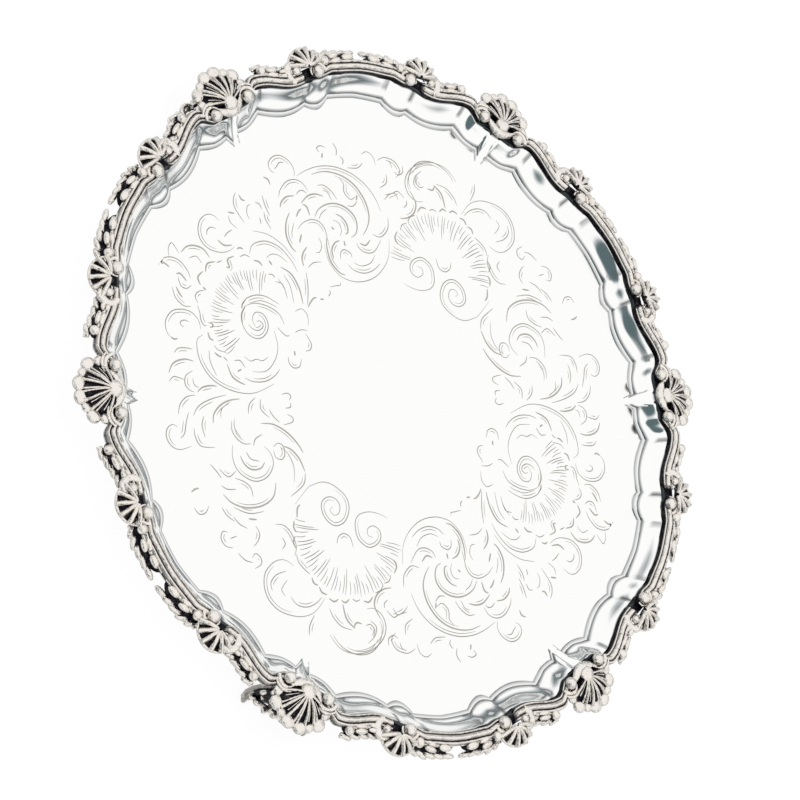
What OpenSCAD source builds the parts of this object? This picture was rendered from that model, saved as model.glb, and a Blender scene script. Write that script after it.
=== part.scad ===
// Footed round plate in silver plate: a sheet tray with a scalloped border, a border
// strip in six soldered lengths, large and small shells, leaf sprays and three scroll feet.
// Origin on the table under the plate's centre. +Z is up, +X points to large shell 1.

/* [Tray] */
// Radius of the flat floor at the pointed end below each large shell
floor_r = 126; // [110:1:150]
// Height of the floor's top face above the table
floor_z = 12.4; // [11:0.2:18]
// Thickness of the sheet
sheet_t = 1.6; // [1.2:0.1:2.2]
// Height of the border's lip above the floor
border_h = 8.4; // [7:0.2:11]

/* [Border strip] */
// Width of the strip that is soldered on the lip
strip_w = 5.6; // [4.8:0.2:7]
// Height of the strip's rounded back above the lip
strip_h = 2.2; // [1.8:0.1:3]

/* [Shells] */
// Length of a large shell from its hinge to its longest lobe
large_len = 18; // [15:0.5:21.5]
// Length of a small shell from its hinge to its longest lobe
small_len = 11; // [9:0.5:13]
// Angle by which a large shell's fan opens to each side
large_spread = 78; // [66:1:84]
// Angle by which a small shell's fan opens to each side
small_spread = 70; // [60:1:80]
// Lobes of a shell
lobes = 7; // [5:2:9]
// Thickness of a shell
shell_t = 2.6; // [2.2:0.1:3.2]
// Radius of the knob on a large shell's hinge
large_knob_r = 2.4; // [1.8:0.1:2.8]
// Radius of the knob on a small shell's hinge
small_knob_r = 1.7; // [1.2:0.1:2]
// Radius of the two scroll eyes beside a large shell's hinge
eye_r = 2.6; // [2:0.1:3]
// Distance of a scroll eye from the middle of its shell
eye_side = 9.8; // [9:0.2:11]
// Angle from a large shell to the small shell on each side of it
small_turn = 18.3; // [17.5:0.1:19]

/* [Leaf sprays] */
// Diameter of a spray's stem
stem_d = 2.2; // [1.8:0.1:2.8]
// Thickness of a leaf
leaf_t = 1.8; // [1.4:0.1:2.4]
// Length of a leaf
leaf_len = 5; // [4:0.2:6]
// Angle from a large shell to the middle of the spray next to it
inner_beside = 11.6; // [11:0.1:12.4]
// Distance along the edge from a small shell to the middle of the spray next to the seam
seam_reach = 16.8; // [15:0.1:18]

/* [Feet] */
// Distance between the middles of a foot's two toes
toe_gap = 30; // [24:1:36]
// How far a toe's middle stands out from the panel's back face
toe_reach = 7.4; // [6:0.2:9]
// Radius of a toe's curl
toe_r = 3; // [2.6:0.1:3.6]
// Width of a toe along its curl
toe_w = 4.4; // [3.6:0.2:5.6]
// Height of the curl that is filed away to leave the flat that stands on the table
toe_flat = 0.4; // [0.3:0.1:0.6]
// Thickness of a foot's pierced panel
panel_t = 3; // [2.4:0.2:4]
// Height of the solid band along the top of a foot's panel
band_h = 5; // [4:0.2:6]

/* [Fit] */
// Depth by which a soldered piece beds into the piece below it
solder_bed = 0.5; // [0.3:0.1:0.8]

/* [Hidden] */
$fn = 48;
sectors = 6;
sector_turn = 360 / sectors;
lip_z = floor_z + border_h;
strip_top = lip_z + strip_h;
foot_shells = [0, 2, 4];

// The border from the middle of a large shell to the seam, in degrees: where the floor's
// edge has a corner, how far out it is there, and how far each lobe swells inwards.
corner_turn = [0, 1.5, 7.7, 18.5, 24, 30];
corner_out = [0, 4.4, 7.6, 5.7, 8.2, 9.1];
lobe_swell = [0, 1.6, 3.4, 3.2, 0];
lobe_steps = [1, 4, 4, 3, 2];

// The strip's inner edge over the same stretch: its turns and how far out they are.
wave_turn = [0, 4, 7, 15, 21, 24, 30];
wave_out = [12.2, 12.8, 17.4, 12.8, 15.2, 17, 17.6];

// The sheet's wall from the floor to the lip, as shares of its width and height.
wall_across = [0, 0.2, 0.45, 0.7, 0.9, 1];
wall_up = [0, 0.13, 0.28, 0.55, 0.85, 1];
lip_overlap = 0.6;

// ---- Border curves -------------------------------------------------------------------

function mix(a, b, t) = a + (b - a) * t;
function smooth(t) = (1 - cos(180 * t)) / 2;

// Index of the stretch of a rising list that holds the value v
function stretch(list, v, i = 0) =
    i >= len(list) - 2 || v <= list[i + 1] ? i : stretch(list, v, i + 1);

function share(list, v, i) = (v - list[i]) / (list[i + 1] - list[i]);

function floor_edge(turn) =
    let (v = abs(turn), i = stretch(corner_turn, v), t = share(corner_turn, v, i))
    floor_r + mix(corner_out[i], corner_out[i + 1], t) - lobe_swell[i] * 4 * t * (1 - t);

function strip_inner(turn) =
    let (v = abs(turn), i = stretch(wave_turn, v), t = share(wave_turn, v, i))
    floor_r + mix(wave_out[i], wave_out[i + 1], smooth(t));

half_turns = [for (i = [0:len(lobe_steps) - 1]) for (k = [0:lobe_steps[i] - 1])
    mix(corner_turn[i], corner_turn[i + 1], k / lobe_steps[i])];
seam_turn = sector_turn / 2;
segment_turns = concat(
    [-seam_turn],
    [for (i = [len(half_turns) - 1:-1:1]) -half_turns[i]],
    half_turns,
    [seam_turn]
);

function strip_outer(turn) = strip_inner(turn) + strip_w;

function at(radius, turn, z) = [radius * cos(turn), radius * sin(turn), z];

// ---- Skins over rings of points --------------------------------------------------------

// Triangles between ring j and ring j + 1, closed rings of n points each
function band(j, n) = [for (k = [0:n - 1])
    let (a = j * n + k, b = j * n + (k + 1) % n)
    each [[a, b, a + n], [b, b + n, a + n]]];

// ---- Tray ------------------------------------------------------------------------------

module tray_body() {
    turns = [for (s = [0:sectors - 1]) for (k = [0:len(segment_turns) - 2])
        [s * sector_turn, segment_turns[k]]];
    n = len(turns);
    m = len(wall_across);
    wall = [for (j = [0:m - 1]) [for (t = turns)
        let (a = floor_edge(t[1]), b = strip_inner(t[1]) + lip_overlap)
        at(mix(a, b, wall_across[j]), t[0] + t[1], floor_z + border_h * wall_up[j])]];
    lip = [for (t = turns) at(strip_outer(t[1]), t[0] + t[1], lip_z)];
    top = concat(wall, [lip]);
    under = [for (j = [m:-1:0]) [for (p = top[j]) p - [0, 0, sheet_t]]];
    rings = concat(top, under);
    last = len(rings) - 1;
    points = concat(
        [for (ring = rings) each ring],
        [[0, 0, floor_z], [0, 0, floor_z - sheet_t]]
    );
    centre = len(points) - 2;
    faces = concat(
        [for (j = [0:last - 1]) each band(j, n)],
        [for (k = [0:n - 1]) [centre, (k + 1) % n, k]],
        [for (k = [0:n - 1]) [centre + 1, last * n + k, last * n + (k + 1) % n]]
    );
    color("gainsboro") polyhedron(points, faces);
}

// ---- Border strip, one length from seam to seam ------------------------------------------

module border_strip(i) {
    steps = 6;
    start = (i - 1) * sector_turn;
    rows = [for (t = segment_turns) [for (k = [0:steps])
        let (a = 180 * k / steps, across = strip_w / 2 * (1 - cos(a)))
        at(strip_inner(t) + across, start + t, lip_z + strip_h * sin(a))]];
    n = steps + 1;
    last = len(rows) - 1;
    faces = concat(
        [for (j = [0:last - 1]) each band(j, n)],
        [[for (k = [n - 1:-1:0]) k]],
        [[for (k = [0:n - 1]) last * n + k]]
    );
    color("silver") polyhedron([for (row = rows) each row], faces);
}

// ---- Placing what is soldered on the border ------------------------------------------------

module on_border(turn, out, z) {
    rotate([0, 0, turn]) translate([out, 0, z]) children();
}

// Turn and side, 1 or -1, of the i-th of the pieces that come two to a large shell
function pair_turn(i) = floor((i - 1) / 2) * sector_turn;
function pair_side(i) = i % 2 == 1 ? -1 : 1;

// ---- Shells ----------------------------------------------------------------------------------

// Length of a shell's lobe at the angle a, for a fan that opens by spread to each side
side_shortening = 0.18;
function lobe_len(length, a, spread) = length * (1 - side_shortening * pow(a / spread, 2));

// Fan of round-ended lobes with a flute between each two, opening along +X from its hinge
module shell(length, spread, knob_r) {
    angles = [for (k = [0:lobes - 1]) spread * (2 * k / (lobes - 1) - 1)];
    lobe_r = length * 1.12 / lobes;
    flute_r = lobe_r * 0.55;
    flute_start = length * 0.46;
    difference() {
        linear_extrude(shell_t) {
            for (a = angles)
                rotate(a) translate([lobe_len(length, a, spread) - lobe_r, 0]) circle(r = lobe_r);
            polygon(concat(
                [[-knob_r / 2, 0]],
                [for (a = angles) (lobe_len(length, a, spread) - lobe_r) * [cos(a), sin(a)]]
            ));
        }
        for (k = [0:lobes - 2])
            rotate((angles[k] + angles[k + 1]) / 2)
                translate([flute_start, 0, shell_t + flute_r * 0.3])
                    rotate([0, 90, 0])
                        cylinder(r = flute_r, h = length);
    }
    translate([0, 0, shell_t * 0.75]) sphere(r = knob_r);
}

module scroll_eye() {
    cylinder(r = eye_r, h = shell_t);
    translate([0, 0, shell_t]) sphere(r = eye_r * 0.75);
}

module large_shell(i) {
    hinge = strip_inner(0) + strip_w / 2;
    color("silver") on_border((i - 1) * sector_turn, hinge, strip_top - solder_bed) {
        shell(large_len, large_spread, large_knob_r);
        for (s = [-1, 1]) translate([0, s * eye_side, 0]) scroll_eye();
    }
}

module small_shell(i) {
    turn = pair_turn(i) + pair_side(i) * small_turn;
    hinge = strip_inner(small_turn) + strip_w * 0.8;
    color("silver") on_border(turn, hinge, strip_top - solder_bed)
        shell(small_len, small_spread, small_knob_r);
}

// ---- Leaf sprays -------------------------------------------------------------------------------

// Pointed leaf between two arcs, lying along +X from the origin
module leaf() {
    width = leaf_len * 0.42;
    bow = (leaf_len * leaf_len + width * width) / (4 * width);
    linear_extrude(leaf_t) intersection() {
        translate([leaf_len / 2, bow - width / 2]) circle(r = bow);
        translate([leaf_len / 2, width / 2 - bow]) circle(r = bow);
    }
}

// Curved stem that ends in a ball, with leaves along its outer side; side is 1 or -1
module spray(bend_r, sweep, side) {
    ball_r = stem_d * 0.8;
    leaves = 3;
    lean = 35;
    translate([0, -bend_r, stem_d / 2]) {
        rotate_extrude(angle = sweep, start = 90 - sweep / 2)
            translate([bend_r, 0]) circle(d = stem_d);
        rotate(90 - side * sweep / 2) translate([bend_r, 0]) sphere(r = ball_r);
    }
    for (k = [0:leaves - 1]) {
        a = sweep * ((k + 0.5) / leaves - 0.5);
        translate([0, -bend_r, stem_d / 4])
            rotate(90 + a) translate([bend_r - stem_d / 4, 0])
                rotate(-side * lean) leaf();
    }
}

// How far the strip's outer edge leans from square to the radius, in degrees
function edge_tilt(turn) =
    atan((strip_outer(turn - 0.5) - strip_outer(turn + 0.5)) / (strip_outer(turn) * PI / 180));

// A spray lies along the strip's outer edge, at the angle beside from its large shell
module place_spray(i, beside) {
    out = strip_outer(beside) + stem_d / 2 - solder_bed;
    rotate([0, 0, pair_turn(i) + pair_side(i) * beside]) translate([out, 0, lip_z])
        rotate([0, 0, pair_side(i) * edge_tilt(beside) - 90]) children();
}

module inner_spray(i) {
    color("silver") place_spray(i, inner_beside) spray(60, 15, pair_side(i));
}

module seam_spray(i) {
    beside = small_turn + seam_reach / strip_outer(small_turn) * 180 / PI;
    color("silver") place_spray(i, beside) spray(90, 11, pair_side(i));
}

// ---- Feet ----------------------------------------------------------------------------------------

// Outline of a foot's panel, as wide as the toes are apart: two legs, a band and three lobes
module panel_outline(panel_top) {
    leg_w = toe_w - 0.4;
    lobe_r = toe_gap / 6.4;
    lobe_z = panel_top - band_h - lobe_r * 0.5;
    half = toe_gap / 2;
    difference() {
        union() {
            translate([-half - leg_w / 2, panel_top - band_h]) square([toe_gap + leg_w, band_h]);
            for (s = [-1, 1]) {
                translate([s * half - leg_w / 2, toe_r]) square([leg_w, panel_top - band_h]);
                translate([s * half * 0.55, lobe_z]) circle(r = lobe_r);
            }
            translate([0, lobe_z - lobe_r * 0.4]) circle(r = lobe_r);
        }
        for (s = [-1, 1]) translate([s * half * 0.55, lobe_z]) circle(r = lobe_r * 0.45);
        translate([0, lobe_z - lobe_r * 0.4]) circle(r = lobe_r * 0.4);
    }
}

// A foot stands below a large shell: a pierced panel under the lip and two curled toes
module foot(i) {
    panel_top = lip_z - sheet_t + solder_bed;
    panel_out = strip_outer(0) - panel_t + solder_bed;
    toe_out = panel_out + toe_reach;
    toe_z = toe_r - toe_flat;
    strap_t = 2.4;
    color("silver") rotate([0, 0, foot_shells[i - 1] * sector_turn]) difference() {
        union() {
            translate([panel_out, 0, 0]) rotate([90, 0, 90])
                linear_extrude(panel_t) panel_outline(panel_top);
            for (s = [-1, 1]) {
                translate([toe_out, s * toe_gap / 2 + toe_w / 2, toe_z])
                    rotate([90, 0, 0]) cylinder(r = toe_r, h = toe_w);
                translate([panel_out, s * toe_gap / 2 - toe_w / 2, toe_z + toe_r - strap_t])
                    cube([toe_reach, toe_w, strap_t]);
            }
        }
        translate([0, -toe_gap, -2 * toe_r]) cube([2 * floor_r, 2 * toe_gap, 2 * toe_r]);
    }
}

tray_body();
for (i = [1:sectors]) {
    border_strip(i);
    large_shell(i);
}
for (i = [1:2 * sectors]) {
    small_shell(i);
    inner_spray(i);
    seam_spray(i);
}
for (i = [1:len(foot_shells)]) {
    foot(i);
}
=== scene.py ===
import math

import bpy
import numpy as np
from mathutils import Matrix, Vector
from mathutils.geometry import delaunay_2d_cdt


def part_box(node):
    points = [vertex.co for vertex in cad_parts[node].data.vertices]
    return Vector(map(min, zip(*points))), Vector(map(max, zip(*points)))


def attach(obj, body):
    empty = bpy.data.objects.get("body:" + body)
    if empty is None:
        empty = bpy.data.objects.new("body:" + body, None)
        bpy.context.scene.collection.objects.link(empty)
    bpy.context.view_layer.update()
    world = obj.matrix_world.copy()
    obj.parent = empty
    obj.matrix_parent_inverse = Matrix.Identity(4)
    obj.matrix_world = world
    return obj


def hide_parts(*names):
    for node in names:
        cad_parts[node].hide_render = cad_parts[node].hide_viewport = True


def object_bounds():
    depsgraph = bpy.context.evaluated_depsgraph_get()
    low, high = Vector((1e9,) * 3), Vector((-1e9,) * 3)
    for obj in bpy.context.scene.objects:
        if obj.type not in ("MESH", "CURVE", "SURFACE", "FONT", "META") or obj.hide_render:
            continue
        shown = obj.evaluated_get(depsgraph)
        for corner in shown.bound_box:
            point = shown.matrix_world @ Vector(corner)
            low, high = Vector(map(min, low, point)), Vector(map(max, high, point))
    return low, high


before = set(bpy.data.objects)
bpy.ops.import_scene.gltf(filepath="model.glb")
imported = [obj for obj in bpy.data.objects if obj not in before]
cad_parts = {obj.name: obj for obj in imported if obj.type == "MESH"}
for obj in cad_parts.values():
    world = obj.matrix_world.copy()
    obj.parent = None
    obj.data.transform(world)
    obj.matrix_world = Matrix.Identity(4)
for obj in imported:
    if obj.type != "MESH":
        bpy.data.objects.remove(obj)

CAD_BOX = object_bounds()
MM = 0.001

# ---- Sizes of the plate, in millimetres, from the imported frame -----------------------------
TRAY_LOW, TRAY_HIGH = (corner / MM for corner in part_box("tray_body"))
SHEET_T = 1.6
FLOOR_Z = TRAY_LOW.z + SHEET_T
LIP_Z = TRAY_HIGH.z
STRIP_W = 5.6
SECTORS = 6
SECTOR_TURN = 360 / SECTORS
OUTER_R = CAD_BOX[1][0] / MM
# From the strip's middle to the tip of a large shell
LARGE_LEN = 18.0
# Turn of a small shell from the large one beside it, in degrees
STRIP_SMALL_TURN = 18.3
# Width of the wall in the middle of a large shell
WALL_W = 12.2
FLOOR_R = OUTER_R - LARGE_LEN - WALL_W - STRIP_W / 2
STRIP_MID = FLOOR_R + WALL_W + STRIP_W / 2

# The floor's edge and the strip's inner edge from the middle of a large shell to the seam:
# turns in degrees, and how far out from FLOOR_R they lie there. A lobe swells in by LOBE_SWELL
# half way between its corners and is drawn in LOBE_STEPS steps.
CORNER_TURN = np.array([0, 0.8, 1.5, 7.7, 18.5, 24, 30])
CORNER_OUT = np.array([0.8, 0, 4.4, 7.6, 5.7, 8.2, 9.1])
LOBE_SWELL = np.array([0, 0, 1.6, 3.4, 3.2, 0])
LOBE_STEPS = (3, 4, 18, 26, 16, 10)
WAVE_TURN = np.array([0, 4, 7, 15, 21, 24, 30])
WAVE_OUT = np.array([WALL_W, 12.8, 17.4, 12.8, 15.2, 17, 17.6])


def stretch_of(turn, knots):
    """Index of the stretch between knots that each turn is on, and its share of the way along."""
    v = np.abs(turn)
    i = np.clip(np.searchsorted(knots, v, side="right") - 1, 0, len(knots) - 2)
    return i, (v - knots[i]) / (knots[i + 1] - knots[i])


def floor_edge(turn):
    """Radius of the floor's edge."""
    i, t = stretch_of(turn, CORNER_TURN)
    out = CORNER_OUT[i] * (1 - t) + CORNER_OUT[i + 1] * t
    return FLOOR_R + out - LOBE_SWELL[i] * 4 * t * (1 - t)


def strip_inner(turn):
    """Radius of the strip's inner edge, which waves in and out."""
    i, t = stretch_of(turn, WAVE_TURN)
    t = (1 - np.cos(np.pi * t)) / 2
    return FLOOR_R + WAVE_OUT[i] * (1 - t) + WAVE_OUT[i + 1] * t


# ---- Modelling helpers ---------------------------------------------------------------------
# Vertices nearer than this are one vertex, in millimetres
MERGE_GAP = 0.02


def deselect():
    """Leaves edit mode with nothing selected."""
    if bpy.context.mode != "OBJECT":
        bpy.ops.object.mode_set(mode="OBJECT")
    bpy.ops.object.select_all(action="DESELECT")


def edit_all(*steps):
    """Runs edit-mode steps on all of the active piece."""
    bpy.ops.object.mode_set(mode="EDIT")
    bpy.ops.mesh.select_all(action="SELECT")
    for step in steps:
        step()
    bpy.ops.object.mode_set(mode="OBJECT")


def merge():
    bpy.ops.mesh.remove_doubles(threshold=MERGE_GAP * MM)


def outwards():
    bpy.ops.mesh.normals_make_consistent(inside=False)


def set_tarnish_and_shade(piece, values):
    """Stores how dull each vertex is, 0 to 1: tarnish in the hollows, and painted shade on undersides, in
    gaps and under the strip.
    """
    layer = piece.data.attributes.new("tarnish_and_shade", "FLOAT", "POINT")
    layer.data.foreach_set("value", np.asarray(values, np.float32))


def skin(name, across, along, place):
    """A grid laid over the surface place(u, v) -> x, y, z in millimetres and how dull it is, tarnish and
    painted shade.
    """
    deselect()
    bpy.ops.mesh.primitive_grid_add(x_subdivisions=across, y_subdivisions=along, size=1)
    piece = bpy.context.object
    piece.name = piece.data.name = name
    co = np.empty(len(piece.data.vertices) * 3)
    piece.data.vertices.foreach_get("co", co)
    u, v = co.reshape(-1, 3)[:, 0] + 0.5, co.reshape(-1, 3)[:, 1] + 0.5
    x, y, z, tarnish_and_shade = np.broadcast_arrays(*place(u, v), u)[:4]
    piece.data.vertices.foreach_set("co", (np.stack([x, y, z], 1) * MM).astype(np.float32).ravel())
    piece.data.update()
    set_tarnish_and_shade(piece, tarnish_and_shade)
    edit_all(merge, outwards)
    return piece


def join(name, pieces):
    """One piece made of several, with the first one's materials and theirs."""
    deselect()
    for piece in pieces:
        piece.select_set(True)
    bpy.context.view_layer.objects.active = pieces[0]
    bpy.ops.object.join()
    piece = bpy.context.object
    piece.name = piece.data.name = name
    return piece


def smooth(piece, angle):
    """Smooth shading, with edges sharper than the angle left crisp."""
    deselect()
    piece.select_set(True)
    bpy.context.view_layer.objects.active = piece
    bpy.ops.object.shade_smooth_by_angle(angle=math.radians(angle))


def turned_copy(piece, name, degrees, flip=False):
    """A copy with its own mesh, turned about the plate's axis and mirrored across X first."""
    copy = piece.copy()
    copy.data = piece.data.copy()
    copy.name = copy.data.name = name
    bpy.context.scene.collection.objects.link(copy)
    place = Matrix.Rotation(math.radians(degrees), 4, "Z")
    if flip:
        place = place @ Matrix.Scale(-1, 4, (0, 1, 0))
    copy.data.transform(place)
    if flip:
        copy.data.flip_normals()
    return copy


def polar(radius, turn, z):
    """A point at a radius and a turn in degrees about the plate's axis."""
    a = np.radians(turn)
    return radius * np.cos(a), radius * np.sin(a), z


# ---- Materials -----------------------------------------------------------------------------


def srgb(code):
    """Linear colour from an sRGB hex code."""
    parts = [int(code[i : i + 2], 16) / 255 for i in (1, 3, 5)]
    return tuple(p / 12.92 if p <= 0.04045 else ((p + 0.055) / 1.055) ** 2.4 for p in parts) + (1,)


def add(tree, kind, settings=None, **links):
    """Adds a node, sets its properties and inputs, and links the sockets that are given."""
    node = tree.nodes.new(kind)
    for key, value in (settings or {}).items():
        if isinstance(key, int) or key in node.inputs:
            node.inputs[key].default_value = value
        else:
            setattr(node, key, value)
    for key, socket in links.items():
        key = int(key[1:]) if key[0] == "i" and key[1:].isdigit() else key.replace("_", " ")
        tree.links.new(socket, node.inputs[key])
    return node


def metal(name, bright, dull, bright_rough, dull_rough, grain_mm, streak, chased_mm=0.0):
    """Silver plate: bright where it is rubbed, dull where tarnish has gathered in the hollows and where
    shade is painted.

    grain_mm is the size of its mottling, streak how far that shifts the dull tone, and chased_mm how
    deep the marks of the chasing tool are.
    """
    material = bpy.data.materials.new(name)
    material.use_nodes = True
    tree = material.node_tree
    shader = tree.nodes["Principled BSDF"]
    shader.inputs["Metallic"].default_value = 1.0
    place = add(tree, "ShaderNodeTexCoord").outputs["Object"]
    tarnish_and_shade = add(tree, "ShaderNodeAttribute", {"attribute_name": "tarnish_and_shade"}).outputs["Fac"]
    grain = add(tree, "ShaderNodeTexNoise", {"Scale": 1 / (grain_mm * MM), "Detail": 4.0}, Vector=place)
    mottled = add(tree, "ShaderNodeMath", {"operation": "MULTIPLY_ADD", 1: streak, 2: -streak / 2},
                  i0=grain.outputs["Fac"])
    # Dullness: tarnish in the hollows plus painted shade, shifted at random by the mottling
    depth = add(tree, "ShaderNodeMath", {"operation": "ADD", "use_clamp": True},
                i0=tarnish_and_shade, i1=mottled.outputs[0])
    tone = add(tree, "ShaderNodeMix", {"data_type": "RGBA", 6: srgb(bright), 7: srgb(dull)},
               i0=depth.outputs[0])
    rough = add(tree, "ShaderNodeMapRange", {"To Min": bright_rough, "To Max": dull_rough},
                Value=depth.outputs[0])
    tree.links.new(tone.outputs[2], shader.inputs["Base Color"])
    tree.links.new(rough.outputs[0], shader.inputs["Roughness"])
    if chased_mm:
        bumps = add(tree, "ShaderNodeBump", {"Strength": 1.0, "Distance": chased_mm * MM},
                    Height=grain.outputs["Fac"])
        tree.links.new(bumps.outputs["Normal"], shader.inputs["Normal"])
    return material


def silver_tray():
    """Electroplated silver on a spun sheet, buffed to a mirror: white, with cool reflections; its cool dark
    grey is painted shade in the steps and creases of the wall and painted shadow under the strip.
    """
    return metal("silver_plate_buffed", "#F7F7F6", "#3C4244", 0.1, 0.35, 6.0, 0.02)


def silver_cut():
    """The graver's cuts: grey facets, mottled darker at random, beside the buffed plate."""
    return metal("silver_graver_cut", "#B4B0A8", "#625E58", 0.3, 0.45, 1.2, 0.6)


def silver_cast():
    """Silver plate on castings, chased and oxidised: cream ridges over near-black hollows, with painted
    shade on the undersides of bars and beads and on the dark webs.
    """
    return metal("silver_plate_cast_oxidised_painted_shade", "#ECE7E0", "#1C1A21", 0.17, 0.45, 2.2, 0.3, 0.9)


# ---- Tray ------------------------------------------------------------------------------------
# The wall from the floor's edge to the strip, as shares of the way across and heights in
# millimetres: a small step, a narrow band, a second step, then a hollow that ends steep.
WALL_ACROSS = np.array([0, 0.035, 0.19, 0.225, 0.35, 0.5, 0.64, 0.76, 0.86, 0.93, 1.0])
WALL_UP = np.array([0, 0.4, 0.85, 1.25, 1.7, 2.6, 4.0, 5.5, 6.8, 7.5, 7.7])
# The engraved floor is one flat mesh up to this radius
PLAIN_R = 121.0
# The ridges between the lobes: turns in degrees, height, and the share of the wall they start at
FOLD_TURNS = (7.7, 18.5, 24.0)
FOLD_H = 1.5
FOLD_FROM = 0.2
# The painted shade of the crease beside a ridge: how far beside it and its half width, in degrees
CREASE_BESIDE, CREASE_HALF = 0.25, 0.55
# Half width of the pointed spout behind a large shell, in degrees
SPOUT_TURN = 0.8
# Radial room for a sharp foot of the wall, for the line of painted shadow under the strip and behind the
# wall
FOOT_IN, LIP_IN, BACK_OUT = 0.25, 0.5, 0.8


def border_turns():
    """Turns round the whole plate with a vertex on each corner of the floor's edge."""
    half = [CORNER_TURN[i] + (CORNER_TURN[i + 1] - CORNER_TURN[i]) * k / steps
            for i, steps in enumerate(LOBE_STEPS) for k in range(steps)]
    half.append(SECTOR_TURN / 2)
    return np.array([-t for t in reversed(half[1:])] + half)


def wall_height(turn, across):
    """Height of the wall above the floor: hollow lobes with a sharp ridge between them."""
    up = np.interp(across, WALL_ACROSS, WALL_UP)
    i, t = stretch_of(turn, CORNER_TURN)
    from_middle = np.select([i <= 1, i == 5], [1.0, 1 - t], np.abs(2 * t - 1))
    fold = np.sin(np.pi * np.clip((across - FOLD_FROM) / (1 - FOLD_FROM), 0, 1)) ** 0.8
    up = up + FOLD_H * from_middle**2.4 * fold
    spout = np.clip(1.6 - np.abs(turn) / SPOUT_TURN, 0, 1)
    return up * (1 - spout) + spout * WALL_UP[-1] * across**1.4


def wall_dark(turn, share):
    """Painted shade on the wall: in the two steps, as a painted shadow under the strip and in the top of
    each crease.
    """
    steps = {WALL_ACROSS[1]: 0.6, WALL_ACROSS[3]: 0.85}.get(share, 0.0)
    dark = np.where(np.abs(turn) < SPOUT_TURN, 0.0, steps)
    if share == 1:
        dark = np.ones_like(turn)
    for fold in FOLD_TURNS:
        beside = np.abs(turn) - fold
        crease = np.clip(1 - np.abs(beside - CREASE_BESIDE) / CREASE_HALF, 0, 1) * (0.6 <= share <= 0.95)
        dark = np.maximum(dark, crease)
    return dark


def tray_rings(turn):
    """Rings of the tray for one sector's turns: radius, height and dullness, floor to underside: painted
    shade under the strip and on the lip's outer edge, fainter on the underside.
    """
    edge, inner = floor_edge(turn), strip_inner(turn)
    outer = inner + STRIP_W
    rings = [(np.full_like(turn, PLAIN_R), np.full_like(turn, FLOOR_Z), 0.0),
             (edge - FOOT_IN, np.full_like(turn, FLOOR_Z), 0.0)]
    for share in WALL_ACROSS:
        height = FLOOR_Z + wall_height(turn, np.full_like(turn, share))
        rings.append((edge + (inner - edge) * share, height, wall_dark(turn, share)))
    rings.append((inner + LIP_IN, np.full_like(turn, LIP_Z), 1.0))
    rings.append((outer, np.full_like(turn, LIP_Z), 0.6))
    rings.append((outer, np.full_like(turn, LIP_Z - SHEET_T), 0.3))
    for share in reversed(WALL_ACROSS[::2]):
        up = np.interp(share, WALL_ACROSS, WALL_UP)
        out = edge + (inner - edge) * share + BACK_OUT
        rings.append((out, np.full_like(turn, FLOOR_Z + up - SHEET_T), 0.1))
    rings.append((np.full_like(turn, PLAIN_R), np.full_like(turn, FLOOR_Z - SHEET_T), 0.1))
    return rings


def tray_border(name):
    """Wall, lip and underside, made for one sector and turned for the others."""
    turn = border_turns()
    rings = tray_rings(turn)
    radius, height = (np.array([ring[k] for ring in rings]) for k in (0, 1))
    dark = np.array([np.broadcast_to(ring[2], turn.shape) for ring in rings])

    def place(u, v):
        i = np.rint(u * (len(turn) - 1)).astype(int)
        j = np.rint(v * (len(rings) - 1)).astype(int)
        return (*polar(radius[j, i], turn[i], height[j, i]), dark[j, i])

    sector = skin(name, len(turn) - 1, len(rings) - 1, place)
    sector.data.materials.append(BUFFED)
    return [sector] + [turned_copy(sector, f"{name}_{k}", k * SECTOR_TURN) for k in range(1, SECTORS)]


def make_tray(cuts):
    """The whole sheet: engraved floor, plain underside and the border between them."""
    sectors = tray_border("tray")
    floor = engraved_floor(cuts)
    under = plain_disc(FLOOR_Z - SHEET_T)
    under.data.materials.append(BUFFED)
    tray = join("tray", [floor, under] + sectors)
    deselect()
    tray.select_set(True)
    bpy.context.view_layer.objects.active = tray
    edit_all(merge, outwards)
    smooth(tray, 24)
    return tray


def edge_ring(z):
    """The points where the floor meets the border, in order round the plate."""
    turn = border_turns()[:-1]
    return [polar(PLAIN_R, t + k * SECTOR_TURN, z) for k in range(SECTORS) for t in turn]


def mesh_from(name, points, faces, tarnish_and_shade):
    """A piece from points in millimetres."""
    mesh = bpy.data.meshes.new(name)
    mesh.from_pydata([(x * MM, y * MM, z * MM) for x, y, z in points], [], faces)
    piece = bpy.data.objects.new(name, mesh)
    bpy.context.scene.collection.objects.link(piece)
    set_tarnish_and_shade(piece, tarnish_and_shade)
    return piece


def plain_disc(z):
    """The flat underside, as a fan of faces about the plate's axis."""
    ring = edge_ring(z)
    n = len(ring)
    faces = [(n, (k + 1) % n, k) for k in range(n)]
    return mesh_from("under", ring + [(0, 0, z)], faces, [0.1] * (n + 1))


# ---- Engraving -----------------------------------------------------------------------------
# The band of scrolls and shells repeats once, half a turn on. Each cut is its width and the
# points that its curve runs through, in millimetres from the plate's centre: a V groove that
# swells in its middle and tapers to its ends, as a graver leaves it.
GROOVE_DEPTH = 0.16
HAIR, FINE, FIRM, BOLD = 0.28, 0.36, 0.48, 0.78
# Share of its width that a cut has at its ends
END_SHARE = 0.25
# Radius of the floor for which the points were chosen
DRAWN_FOR_R = 126.8
# A firm cut longer than the first has a fine one beside it, at the second from it
ECHO_FROM, ECHO_GAP = 8.0, 1.3
HALVES = (1, -1)
# delaunay_2d_cdt: keep what is inside the outlines, and join points nearer than the gap
INSIDE_ONLY, CUT_GAP = 1, 1e-5

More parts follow.
